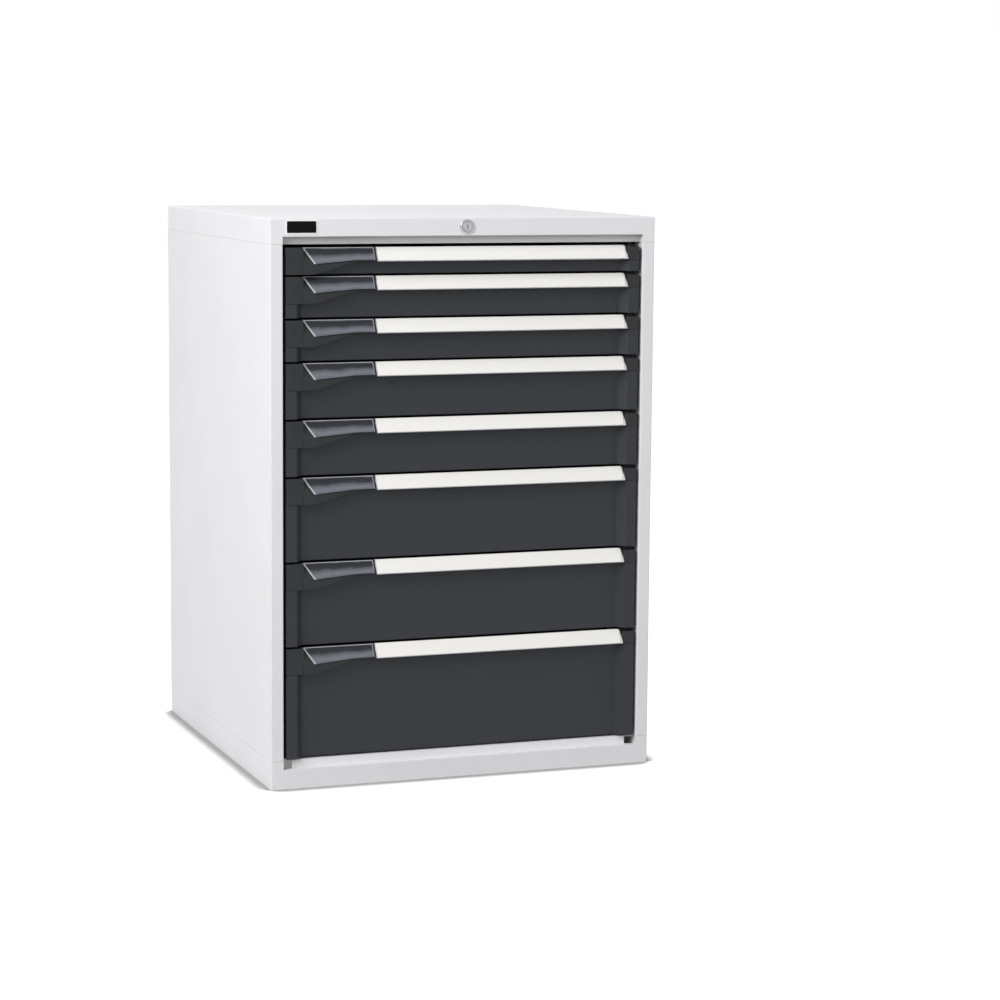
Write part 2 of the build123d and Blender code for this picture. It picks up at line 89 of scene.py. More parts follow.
def add_node(tree: NodeTree, kind: str, inputs: dict | None = None, **settings) -> Node:
    """Add one node to a shader or geometry tree, with its settings, values and links.

    Args:
        tree: The tree that gets the node.
        kind: The node's type name.
        inputs: A value, or an output socket to link, for each input by name or number.
        **settings: The node's own options, such as operation.

    Returns:
        The new node.
    """
    node = tree.nodes.new(kind)
    for name, value in settings.items():
        setattr(node, name, value)
    for name, value in (inputs or {}).items():
        if isinstance(value, NodeSocket):
            tree.links.new(value, node.inputs[name])
        else:
            node.inputs[name].default_value = value
    return node


def new_material(name: str) -> tuple[Material, NodeTree, NodeSocket]:
    """Start a node material.

    Args:
        name: What the finish is.

    Returns:
        The material, its tree, and the output that gives the Object coordinates.
    """
    material = bpy.data.materials.new(name)
    material.use_nodes = True
    tree = material.node_tree
    tree.nodes.clear()
    return material, tree, add_node(tree, "ShaderNodeTexCoord").outputs["Object"]


def join_lines(shape: bmesh.types.BMesh, line: list[bmesh.types.BMVert],
               following: list[bmesh.types.BMVert], closed: bool) -> None:
    """Lay a row of faces between two lines of vertices.

    Args:
        shape: The mesh data.
        line: The first line.
        following: The second line, with as many vertices.
        closed: Whether the lines are loops.
    """
    for place in range(len(line) if closed else len(line) - 1):
        after = (place + 1) % len(line)
        shape.faces.new((line[place], line[after], following[after], following[place]))


@dataclass(frozen=True)
class PaintedShadeRegion:
    """A box-shaped region of a coated piece that is given another colour, here as painted shade."""

    middle: tuple[float, float, float]
    reach: tuple[float, float, float]
    colour: Coat

    def mixed_into(self, tree: NodeTree, place: NodeSocket,
                   around: Coat) -> NodeSocket:
        """Mix the region's colour into the one around it.

        Args:
            tree: The material's tree.
            place: The output that gives the Object coordinates.
            around: The colour outside the region.

        Returns:
            The output that gives the colour.
        """
        axes = add_node(tree, "ShaderNodeSeparateXYZ", {"Vector": place})
        inside = 1.0
        for axis, middle, reach in zip("XYZ", self.middle, self.reach):
            within = add_node(tree, "ShaderNodeMath", {0: axes.outputs[axis], 1: middle, 2: reach},
                              operation="COMPARE")
            both = add_node(tree, "ShaderNodeMath", {0: within.outputs["Value"], 1: inside},
                            operation="MULTIPLY")
            inside = both.outputs["Value"]
        return add_node(tree, "ShaderNodeMix", {
            "Factor": inside, "A": linear(around.value),
            "B": linear(self.colour.value)}, data_type="RGBA").outputs["Result"]


@dataclass(frozen=True)
class PowderCoat:
    """Polyester powder baked on sheet steel: satin, with a fine orange peel and soft folded edges."""

    name: str
    colour: Coat
    roughness: float
    spread: float = 0.04
    shine: float = 0.3
    peel_size: float = 0.0022
    peel_depth: float = 0.0001
    cloud_size: float = 0.14
    cloud_depth: float = 0.015
    fold_radius: float = 0.002
    region: PaintedShadeRegion | None = None

    def build(self) -> Material:
        """Make the material."""
        material, tree, place = new_material(self.name)
        # The peel of 2 mm gives the highlights their slight ripple
        peel = add_node(tree, "ShaderNodeTexNoise", {
            "Vector": place, "Scale": 1 / self.peel_size, "Detail": 1.0, "Roughness": 0.4})
        # Powder lies a little thicker in some places, in clouds as wide as a hand
        cloud = add_node(tree, "ShaderNodeTexNoise", {
            "Vector": place, "Scale": 1 / self.cloud_size, "Detail": 2.0})
        shade = add_node(tree, "ShaderNodeMapRange", {
            "Value": cloud.outputs["Fac"], **NOISE_SPAN, "To Min": 1 - self.cloud_depth,
            "To Max": 1 + self.cloud_depth})
        tone = linear(self.colour.value)
        # Inside the region the colour turns darker: painted shade
        if self.region:
            tone = self.region.mixed_into(tree, place, self.colour)
        colour = add_node(tree, "ShaderNodeHueSaturation", {"Value": shade.outputs["Result"], "Color": tone})
        gloss = add_node(tree, "ShaderNodeMapRange", {
            "Value": peel.outputs["Fac"], **NOISE_SPAN, "To Min": self.roughness - self.spread,
            "To Max": self.roughness + self.spread})
        fold = add_node(tree, "ShaderNodeBevel", {"Radius": self.fold_radius}, samples=4)
        bump = add_node(tree, "ShaderNodeBump", {
            "Strength": 0.12, "Distance": self.peel_depth, "Height": peel.outputs["Fac"],
            "Normal": fold.outputs["Normal"]})
        shader = add_node(tree, "ShaderNodeBsdfPrincipled", {
            "Base Color": colour.outputs["Color"], "Roughness": gloss.outputs["Result"],
            "Specular IOR Level": self.shine, "Normal": bump.outputs["Normal"], "IOR": 1.5})
        add_node(tree, "ShaderNodeOutputMaterial", {"Surface": shader.outputs["BSDF"]})
        return material


@dataclass(frozen=True)
class ZincPlate:
    """Zinc-plated rolled steel: silvery grey, with soft spangles and a dull shine."""

    name: str = "zinc_plated_steel"
    bright: str = "#c3c7ca"
    dull: str = "#a4a9ad"
    spangle_size: float = 0.006

    def build(self) -> Material:
        """Make the material."""
        material, tree, place = new_material(self.name)
        # Spangles of 6 mm, each turned its own way, so each is a little lighter or duller
        spangle = add_node(tree, "ShaderNodeTexVoronoi", {"Vector": place, "Scale": 1 / self.spangle_size})
        grey = add_node(tree, "ShaderNodeSeparateColor", {"Color": spangle.outputs["Color"]})
        colour = add_node(tree, "ShaderNodeMix", {
            "Factor": grey.outputs["Red"], "A": linear(self.bright),
            "B": linear(self.dull)}, data_type="RGBA")
        gloss = add_node(tree, "ShaderNodeMapRange", {
            "Value": grey.outputs["Green"], "To Min": 0.34, "To Max": 0.5})
        shader = add_node(tree, "ShaderNodeBsdfPrincipled", {
            "Base Color": colour.outputs["Result"], "Metallic": 1.0, "Roughness": gloss.outputs["Result"]})
        add_node(tree, "ShaderNodeOutputMaterial", {"Surface": shader.outputs["BSDF"]})
        return material


@dataclass(frozen=True)
class AnodisedAluminium:
    """Extruded aluminium, satin anodised: silver with fine die lines along its length."""

    name: str = "anodised_aluminium"
    colour: str = "#c9cbcd"
    line_width: float = 0.0006
    line_length: float = 0.3

    def build(self) -> Material:
        """Make the material."""
        material, tree, place = new_material(self.name)
        # Die lines run along X. Real ones are finer than a pixel, so they are drawn 0.6 mm wide
        lines = add_node(tree, "ShaderNodeMapping", {
            "Vector": place, "Scale": (1 / self.line_length, 1 / self.line_width, 1 / self.line_width)})
        grain = add_node(tree, "ShaderNodeTexNoise", {
            "Vector": lines.outputs["Vector"], "Scale": 1.0, "Detail": 2.0})
        gloss = add_node(tree, "ShaderNodeMapRange", {
            "Value": grain.outputs["Fac"], **NOISE_SPAN, "To Min": 0.26, "To Max": 0.36})
        bump = add_node(tree, "ShaderNodeBump", {
            "Strength": 0.15, "Distance": 0.00005, "Height": grain.outputs["Fac"]})
        shader = add_node(tree, "ShaderNodeBsdfPrincipled", {
            "Base Color": linear(self.colour), "Metallic": 1.0, "Roughness": gloss.outputs["Result"],
            "Normal": bump.outputs["Normal"]})
        add_node(tree, "ShaderNodeOutputMaterial", {"Surface": shader.outputs["BSDF"]})
        return material


@dataclass(frozen=True)
class MouldedAbs:
    """Injection-moulded ABS: dark grey, with the fine texture of a spark-eroded mould."""

    name: str = "moulded_abs"
    colour: str = "#242528"
    roughness: float = 0.42
    spread: float = 0.05
    texture_size: float = 0.0007
    texture_depth: float = 0.00005
    edge_radius: float = 0.0008

    def build(self) -> Material:
        """Make the material."""
        material, tree, place = new_material(self.name)
        # The mould's texture is about 0.2 mm, drawn 0.7 mm so that it shows
        texture = add_node(tree, "ShaderNodeTexNoise", {
            "Vector": place, "Scale": 1 / self.texture_size, "Detail": 2.0})
        gloss = add_node(tree, "ShaderNodeMapRange", {
            "Value": texture.outputs["Fac"], **NOISE_SPAN,
            "To Min": self.roughness - self.spread, "To Max": self.roughness + self.spread})
        edge = add_node(tree, "ShaderNodeBevel", {"Radius": self.edge_radius}, samples=4)
        bump = add_node(tree, "ShaderNodeBump", {
            "Strength": 0.2, "Distance": self.texture_depth, "Height": texture.outputs["Fac"],
            "Normal": edge.outputs["Normal"]})
        shader = add_node(tree, "ShaderNodeBsdfPrincipled", {
            "Base Color": linear(self.colour), "Roughness": gloss.outputs["Result"],
            "Specular IOR Level": 0.28, "Normal": bump.outputs["Normal"], "IOR": 1.53})
        add_node(tree, "ShaderNodeOutputMaterial", {"Surface": shader.outputs["BSDF"]})
        return material


@dataclass(frozen=True)
class SmokedPlastic:
    """Polished smoked plastic of the catches: glossy dark grey, with a painted reflection banded down its
    face and a painted highlight on its rim.
    """

    name: str = "smoked_plastic"
    painted_reflection_bands: tuple[tuple[float, str], ...] = (
        (0.0, "#5c5e64"), (0.07, "#33353a"), (0.15, "#212429"), (0.42, "#2b2e34"), (0.6, "#5c5f66"),
        (0.8, "#72747c"), (1.0, "#606269"))
    # Painted highlight on the rim's chamfer
    rim: str = "#b0b2ba"
    roughness: float = 0.2
    spread: float = 0.04
    haze_size: float = 0.03
    drift: float = 0.06

    def build(self) -> Material:
        """Make the material."""
        material, tree, place = new_material(self.name)
        # Painted reflection: from the hinge, 0, to the foot, 1, a painted highlight at the top edge, then a
        # dark band and a lighter one, as the glossy dish would mirror its surroundings
        fall = add_node(tree, "ShaderNodeAttribute", attribute_name="fall")
        haze = add_node(tree, "ShaderNodeTexNoise", {
            "Vector": place, "Scale": 1 / self.haze_size, "Detail": 2.0})
        drift = add_node(tree, "ShaderNodeMapRange", {
            "Value": haze.outputs["Fac"], **NOISE_SPAN, "To Min": -self.drift, "To Max": self.drift})
        share = add_node(tree, "ShaderNodeMath", {
            0: fall.outputs["Fac"], 1: drift.outputs["Result"]}, operation="ADD", use_clamp=True)
        ramp = add_node(tree, "ShaderNodeValToRGB", {"Fac": share.outputs["Value"]})
        stops = ramp.color_ramp.elements
        while len(stops) < len(self.painted_reflection_bands):
            stops.new(0.5)
        for stop, (spot, colour) in zip(stops, self.painted_reflection_bands):
            stop.position = spot
            stop.color = linear(colour)
        # Painted highlight: the rim's chamfer is painted pale, as though it caught the key lamp
        pale = add_node(tree, "ShaderNodeAttribute", attribute_name="pale")
        edge = add_node(tree, "ShaderNodeMapRange", {
            "Value": pale.outputs["Fac"], "From Min": 0.1, "From Max": 0.6}, interpolation_type="SMOOTHSTEP")
        colour = add_node(tree, "ShaderNodeMix", {
            "Factor": edge.outputs["Result"], "A": ramp.outputs["Color"],
            "B": linear(self.rim)}, data_type="RGBA")
        gloss = add_node(tree, "ShaderNodeMapRange", {
            "Value": haze.outputs["Fac"], "To Min": self.roughness - self.spread,
            "To Max": self.roughness + self.spread})
        shader = add_node(tree, "ShaderNodeBsdfPrincipled", {
            "Base Color": colour.outputs["Result"], "Roughness": gloss.outputs["Result"],
            "Specular IOR Level": 0.2, "Coat Weight": 0.1, "Coat Roughness": 0.08, "IOR": 1.49})
        add_node(tree, "ShaderNodeOutputMaterial", {"Surface": shader.outputs["BSDF"]})
        return material


@dataclass(frozen=True)
class LabelCard:
    """White card under a clear PVC strip: warm white, faintly fibrous, with a soft shine over it."""

    name: str = "label_card"
    colour: str = "#efeeeb"
    fibre: str = "#e8e7e3"
    fibre_size: float = 0.0015

    def build(self) -> Material:
        """Make the material."""
        material, tree, place = new_material(self.name)
        # Card fibres, drawn 1.5 mm long so that they show as a faint unevenness
        fibres = add_node(tree, "ShaderNodeTexNoise", {
            "Vector": place, "Scale": 1 / self.fibre_size, "Detail": 3.0})
        colour = add_node(tree, "ShaderNodeMix", {
            "Factor": fibres.outputs["Fac"], "A": linear(self.colour),
            "B": linear(self.fibre)}, data_type="RGBA")
        gloss = add_node(tree, "ShaderNodeMapRange", {
            "Value": fibres.outputs["Fac"], "To Min": 0.42, "To Max": 0.55})
        bump = add_node(tree, "ShaderNodeBump", {
            "Strength": 0.08, "Distance": 0.00005, "Height": fibres.outputs["Fac"]})
        shader = add_node(tree, "ShaderNodeBsdfPrincipled", {
            "Base Color": colour.outputs["Result"], "Roughness": gloss.outputs["Result"],
            "Normal": bump.outputs["Normal"], "Coat Weight": 0.4, "Coat Roughness": 0.15})
        add_node(tree, "ShaderNodeOutputMaterial", {"Surface": shader.outputs["BSDF"]})
        return material


@dataclass(frozen=True)
class NickelChrome:
    """Turned brass, nickel and chrome plated: bright, with fine lathe rings around the lock's axis."""

    name: str = "nickel_chrome"
    colour: str = "#b9babd"
    axis_z: float = 0.9845
    ring_width: float = 0.0009
    ring_depth: float = 0.00004
    edge_radius: float = 0.0004

    def build(self) -> Material:
        """Make the material."""
        material, tree, place = new_material(self.name)
        centred = add_node(tree, "ShaderNodeMapping", {"Vector": place, "Location": (0, 0, -self.axis_z)})
        # Lathe rings run around the lock's axis, drawn 0.9 mm wide so that they show. A wave texture's
        # rings lie pi / 10 / scale apart
        rings = add_node(tree, "ShaderNodeTexWave", {
            "Vector": centred.outputs["Vector"], "Scale": math.pi / 10 / self.ring_width},
            wave_type="RINGS", rings_direction="Y")
        gloss = add_node(tree, "ShaderNodeMapRange", {
            "Value": rings.outputs["Fac"], "To Min": 0.12, "To Max": 0.3})
        edge = add_node(tree, "ShaderNodeBevel", {"Radius": self.edge_radius}, samples=4)
        bump = add_node(tree, "ShaderNodeBump", {
            "Strength": 0.3, "Distance": self.ring_depth, "Height": rings.outputs["Fac"],
            "Normal": edge.outputs["Normal"]})
        shader = add_node(tree, "ShaderNodeBsdfPrincipled", {
            "Base Color": linear(self.colour), "Metallic": 1.0, "Roughness": gloss.outputs["Result"],
            "Normal": bump.outputs["Normal"]})
        add_node(tree, "ShaderNodeOutputMaterial", {"Surface": shader.outputs["BSDF"]})
        return material


@dataclass(frozen=True)
class PlateLacquer:
    """Glossy lacquer on a stamped plate, with the faint waviness of paint."""

    name: str
    colour: str
    shine: float
    wave_size: float = 0.004

    def build(self) -> Material:
        """Make the material."""
        material, tree, place = new_material(self.name)
        wave = add_node(tree, "ShaderNodeTexNoise", {"Vector": place, "Scale": 1 / self.wave_size})
        gloss = add_node(tree, "ShaderNodeMapRange", {
            "Value": wave.outputs["Fac"], "To Min": 0.22, "To Max": 0.34})
        bump = add_node(tree, "ShaderNodeBump", {
            "Strength": 0.1, "Distance": 0.0001, "Height": wave.outputs["Fac"]})
        shader = add_node(tree, "ShaderNodeBsdfPrincipled", {
            "Base Color": linear(self.colour), "Roughness": gloss.outputs["Result"],
            "Specular IOR Level": self.shine, "Normal": bump.outputs["Normal"]})
        add_node(tree, "ShaderNodeOutputMaterial", {"Surface": shader.outputs["BSDF"]})
        return material


def dress(node: str, finish: Material) -> None:
    """Give a CAD node one finish in all its material slots.

    Args:
        node: The CAD node's name.
        finish: The material.
    """
    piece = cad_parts[node]
    if not piece.data.materials:
        piece.data.materials.append(finish)
    for slot in piece.material_slots:
        slot.material = finish
    log.info("dressed %s in %s", node, finish.name)


def finish_mesh(shape: bmesh.types.BMesh, name: str, finishes: list[Material]) -> Object:
    """Turn worked mesh data into an object at the origin, with its faces outwards.

    Args:
        shape: The mesh data, which is freed.
        name: The piece's name.
        finishes: Its materials, in the order of the faces' material numbers.

    Returns:
        The new object.
    """
    bmesh.ops.remove_doubles(shape, verts=shape.verts, dist=MERGE_DISTANCE)
    bmesh.ops.recalc_face_normals(shape, faces=shape.faces)
    mesh = bpy.data.meshes.new(name)
    shape.to_mesh(mesh)
    shape.free()
    for finish in finishes:
        mesh.materials.append(finish)
    mesh.shade_smooth()
    piece = bpy.data.objects.new(name, mesh)
    bpy.context.scene.collection.objects.link(piece)
    return piece


def round_edges(piece: Object, width: float, segments: int = 2, angle: float = 30.0) -> None:
    """Round a piece's sharp edges and keep its flat faces flat.

    Args:
        piece: The object.
        width: The width of the rounding.
        segments: How many faces go round it.
        angle: The least angle of an edge that is rounded, in degrees.
    """
    bevel = piece.modifiers.new("rounded_edges", "BEVEL")
    bevel.width = width
    bevel.segments = segments
    bevel.limit_method = "ANGLE"
    bevel.angle_limit = math.radians(angle)
    bevel.harden_normals = True


def grow(name: str, spots: list[Vector], tree: NodeTree, sizes: dict) -> Object:
    """Grow a piece from its spots by a geometry tree and keep the result as a plain mesh.

    Args:
        name: The piece's name.
        spots: The points that the tree starts from.
        tree: The geometry tree.
        sizes: A value for each of the tree's named inputs.

    Returns:
        The plain object.
    """
    seeds = bpy.data.meshes.new(f"{name}_spots")
    seeds.from_pydata(spots, [], [])
    piece = bpy.data.objects.new(name, seeds)
    bpy.context.scene.collection.objects.link(piece)
    modifier = piece.modifiers.new("growth", "NODES")
    modifier.node_group = tree
    for item in tree.interface.items_tree:
        if item.item_type == "SOCKET" and item.in_out == "INPUT" and item.name in sizes:
            modifier[item.identifier] = sizes[item.name]
    seen = piece.evaluated_get(bpy.context.evaluated_depsgraph_get())
    grown = bpy.data.meshes.new_from_object(seen)
    grown.name = name
    piece.modifiers.remove(modifier)
    piece.data = grown
    return piece


def made_by(maker: object) -> Material:
    """Let a field of the finishes be made by its own class when the finishes are made.

    Args:
        maker: The finish's values, with their build method.

    Returns:
        The field.
    """
    return field(default_factory=maker.build)


@dataclass
class Finishes:
    """The finishes that the pieces share, each made once."""

    housing: Material = made_by(PowderCoat(
        "pale_grey_powder_coat", Coat.PALE_GREY, roughness=0.46))
    # The top panel's coat, with painted shade on the recessed lip under the top rail
    cap: Material = made_by(PowderCoat(
        "pale_grey_coat_with_painted_lip_shade", Coat.PALE_GREY, roughness=0.46,
        region=PaintedShadeRegion((0.0, -0.3405, 0.9605), (0.3352, 0.0105, 0.0085), Coat.LIP_PAINTED_SHADE)))
    drawers: Material = made_by(PowderCoat(
        "anthracite_powder_coat", Coat.ANTHRACITE, roughness=0.5, shine=0.35))
    zinc: Material = made_by(ZincPlate())
    aluminium: Material = made_by(AnodisedAluminium())
    caps: Material = made_by(MouldedAbs())
    catches: Material = made_by(SmokedPlastic())
    labels: Material = made_by(LabelCard())
    lock: Material = made_by(NickelChrome())
    plate_field: Material = made_by(PlateLacquer("black_plate_lacquer", "#050506", shine=0.1))
    plate_rim: Material = made_by(PlateLacquer("white_plate_lacquer", "#fafafa", shine=0.4))


@dataclass
class FlangeBolts:
    """Hexagon bolts with their nuts, through the flanges that join the side panels, base and cap."""

    finishes: Finishes
    side_x: float = 0.347
    middle_y: float = 0.02625
    pitch: float = 0.23475
    seams: tuple[float, float] = (0.05, 0.955)
    sheet: float = 0.0015
    head_radius: float = 0.005
    head_height: float = 0.003
    nut_height: float = 0.004
    thread_radius: float = 0.003

    def tree(self) -> NodeTree:
        """Make the geometry tree that puts a bolt and a nut at each spot.

        Returns:
            The tree. Its spots lie in the seams between two sheets.
        """
        tree = bpy.data.node_groups.new("flange_bolts", "GeometryNodeTree")
        tree.interface.new_socket("Geometry", in_out="INPUT", socket_type="NodeSocketGeometry")
        for label in ("Head radius", "Head height", "Nut height", "Thread radius", "Sheet"):
            tree.interface.new_socket(label, in_out="INPUT", socket_type="NodeSocketFloat")
        tree.interface.new_socket("Finish", in_out="INPUT", socket_type="NodeSocketMaterial")
        tree.interface.new_socket("Geometry", in_out="OUTPUT", socket_type="NodeSocketGeometry")
        given = add_node(tree, "NodeGroupInput")
        # The middles of the head and the nut lie half their height beyond the sheets
        rise, drop = (add_node(tree, "ShaderNodeMath", {
            0: given.outputs[label], 1: 0.5, 2: given.outputs["Sheet"]}, operation="MULTIPLY_ADD")
            for label in ("Head height", "Nut height"))
        below = add_node(tree, "ShaderNodeMath", {0: drop.outputs["Value"], 1: -1.0}, operation="MULTIPLY")
        reach, waist = (add_node(tree, "ShaderNodeMath", {
            0: rise.outputs["Value"], 1: drop.outputs["Value"]}, operation=operation)
            for operation in ("ADD", "SUBTRACT"))
        middle = add_node(tree, "ShaderNodeMath", {0: waist.outputs["Value"], 1: 0.5}, operation="MULTIPLY")
        parts = []
        for sides, radius, height, lift in (
                (6, "Head radius", given.outputs["Head height"], rise.outputs["Value"]),
                (6, "Head radius", given.outputs["Nut height"], below.outputs["Value"]),
                (16, "Thread radius", reach.outputs["Value"], middle.outputs["Value"])):
            place = add_node(tree, "ShaderNodeCombineXYZ", {"Z": lift})
            body = add_node(tree, "GeometryNodeMeshCylinder", {
                "Vertices": sides, "Radius": given.outputs[radius], "Depth": height})
            parts.append(add_node(tree, "GeometryNodeTransform", {
                "Geometry": body.outputs["Mesh"], "Translation": place.outputs["Vector"]}))
        bolt = add_node(tree, "GeometryNodeJoinGeometry")
        for part in parts:
            tree.links.new(part.outputs["Geometry"], bolt.inputs["Geometry"])
        turn = add_node(tree, "FunctionNodeRandomValue", {
            "Max": (0.0, 0.0, math.pi / 3), "Seed": 7}, data_type="FLOAT_VECTOR")
        bolts = add_node(tree, "GeometryNodeInstanceOnPoints", {
            "Points": given.outputs["Geometry"], "Instance": bolt.outputs["Geometry"],
            "Rotation": turn.outputs["Value"]})
        real = add_node(tree, "GeometryNodeRealizeInstances", {"Geometry": bolts.outputs["Instances"]})
        coated = add_node(tree, "GeometryNodeSetMaterial", {
            "Geometry": real.outputs["Geometry"], "Material": given.outputs["Finish"]})
        add_node(tree, "NodeGroupOutput", {"Geometry": coated.outputs["Geometry"]})
        return tree

    def build(self) -> None:
        """Grow the bolts in place of the plain CAD ones."""
        spots = [Vector((side.value * self.side_x, self.middle_y + step * self.pitch, seam))
                 for side in Side for step in (-1, 0, 1) for seam in self.seams]
        bolts = grow("flange_bolt_set", spots, self.tree(), {
            "Head radius": self.head_radius, "Head height": self.head_height, "Nut height": self.nut_height,
            "Thread radius": self.thread_radius, "Sheet": self.sheet, "Finish": self.finishes.zinc})
        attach(bolts, "housing")
        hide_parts("flange_bolts")
        log.info("built flange_bolt_set, %d bolts", len(spots))


@dataclass
class Housing:
    """The folded steel housing with the runners inside it."""

    finishes: Finishes
    painted: tuple[str, ...] = ("base", "side_panel_left", "side_panel_right", "rear_panel")
    plated: tuple[str, ...] = ("runner_uprights", "cabinet_runners", "lock_bar")

    def build(self) -> None:
        """Dress the CAD pieces and grow the bolts."""
        for node in self.painted:
            dress(node, self.finishes.housing)
        for node in self.plated:
            dress(node, self.finishes.zinc)
        # The top panel's lip under the rail gets painted shade
        dress("top_panel", self.finishes.cap)
        FlangeBolts(self.finishes).build()


@dataclass
class CylinderLock:
    """The round cylinder lock in the top rail: a stepped, rounded rim on a barrel, with its plug."""

    finishes: Finishes
    axis_z: float = 0.9845
    rail_y: float = -0.3585
    rim_radius: float = 0.013
    rim_height: float = 0.0025
    barrel_radius: float = 0.009
    barrel_length: float = 0.032
    bore_radius: float = 0.00755
    bore_chamfer: float = 0.0004
    rounding: float = 0.0011
    groove_radius: float = 0.0098
    groove_width: float = 0.0012
    groove_depth: float = 0.001
    turns: int = 96

    def section(self) -> list[tuple[float, float]]:
        """Give the rim and barrel's closed section as pairs of radius and Y."""
        face = self.rail_y - self.rim_height
        back = self.rail_y + self.barrel_length
        corner = [(self.rim_radius - self.rounding + self.rounding * math.cos(math.radians(step)),
                   face + self.rounding - self.rounding * math.sin(math.radians(step)))
                  for step in (0, 22.5, 45, 67.5, 90)]
        groove = [(self.groove_radius + self.groove_width / 2, face),
                  (self.groove_radius, face + self.groove_depth),
                  (self.groove_radius - self.groove_width / 2, face)]
        inner = [(self.bore_radius + self.bore_chamfer, face),
                 (self.bore_radius, face + self.bore_chamfer)]
        return [(self.bore_radius, back), (self.barrel_radius, back), (self.barrel_radius, self.rail_y),
                (self.rim_radius, self.rail_y), *corner, *groove, *inner]

    def build(self) -> None:
        """Turn the rim on its axis and dress the plug."""
        shape = bmesh.new()
        rings = []
        for turn in range(self.turns):
            angle = 2 * math.pi * turn / self.turns
            across, up = math.cos(angle), math.sin(angle)
            rings.append([shape.verts.new((radius * across, y, self.axis_z + radius * up))
                          for radius, y in self.section()])
        for ring, following in zip(rings, rings[1:] + rings[:1]):
            join_lines(shape, ring, following, closed=True)
        rim = finish_mesh(shape, "lock_rim", [self.finishes.lock])
        mark_sharp(rim, 35.0)
        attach(rim, "housing")
        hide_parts("lock_housing")
        dress("lock_plug", self.finishes.lock)
        log.info("built lock_rim")


def mark_sharp(piece: Object, angle: float) -> None:
    """Keep the shading sharp over a piece's steep edges.

    Args:
        piece: The object.
        angle: The least angle of a sharp edge, in degrees.
    """
    shape = bmesh.new()
    shape.from_mesh(piece.data)
    for edge in shape.edges:
        edge.smooth = len(edge.link_faces) == 2 and edge.calc_face_angle() < math.radians(angle)
    shape.to_mesh(piece.data)
    shape.free()


@dataclass
class NamePlate:
    """The stamped plate on the rail, left blank: a white rim around a sunk black field."""

    finishes: Finishes
    left: float = -0.330
    right: float = -0.274
    bottom: float = 0.9733
    top: float = 0.9968
    rail_y: float = -0.3585
    thickness: float = 0.001
    rim: float = 0.0016
    sunk: float = 0.0004
    corner: float = 0.003
    least_corner: float = 0.0004
    edge: float = 0.0002
    steps: int = 6

    def outline(self, inset: float) -> list[tuple[float, float]]:
        """Give the rounded outline, moved in from the plate's edge.

        Args:
            inset: How far it is moved in.

        Returns:
            Pairs of X and Z, anticlockwise as seen from the front.
        """
        radius = max(self.corner - inset, self.least_corner)
        low_x, high_x = self.left + inset + radius, self.right - inset - radius
        low_z, high_z = self.bottom + inset + radius, self.top - inset - radius
        corners = [(high_x, low_z, -90), (high_x, high_z, 0), (low_x, high_z, 90), (low_x, low_z, 180)]
        return [(x + radius * math.cos(math.radians(start + 90 * step / self.steps)),
                 z + radius * math.sin(math.radians(start + 90 * step / self.steps)))
                for x, z, start in corners for step in range(self.steps + 1)]

    def build(self) -> None:
        """Stamp the plate from nested outlines."""
        shape = bmesh.new()
        face = self.rail_y - self.thickness
        levels = [(0.0, self.rail_y), (0.0, face + self.edge), (self.edge, face),
                  (self.rim - self.edge, face), (self.rim, face + self.sunk)]
        loops = [[shape.verts.new((x, y, z)) for x, z in self.outline(inset)] for inset, y in levels]
        for loop, following in zip(loops, loops[1:]):
            join_lines(shape, loop, following, closed=True)
        shape.faces.new(loops[0])
        shape.faces.new(loops[-1]).material_index = 1
        plate = finish_mesh(shape, "name_plate_blank", [self.finishes.plate_rim, self.finishes.plate_field])
        mark_sharp(plate, 40.0)
        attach(plate, "housing")
        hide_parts("name_plate")
        log.info("built name_plate_blank")


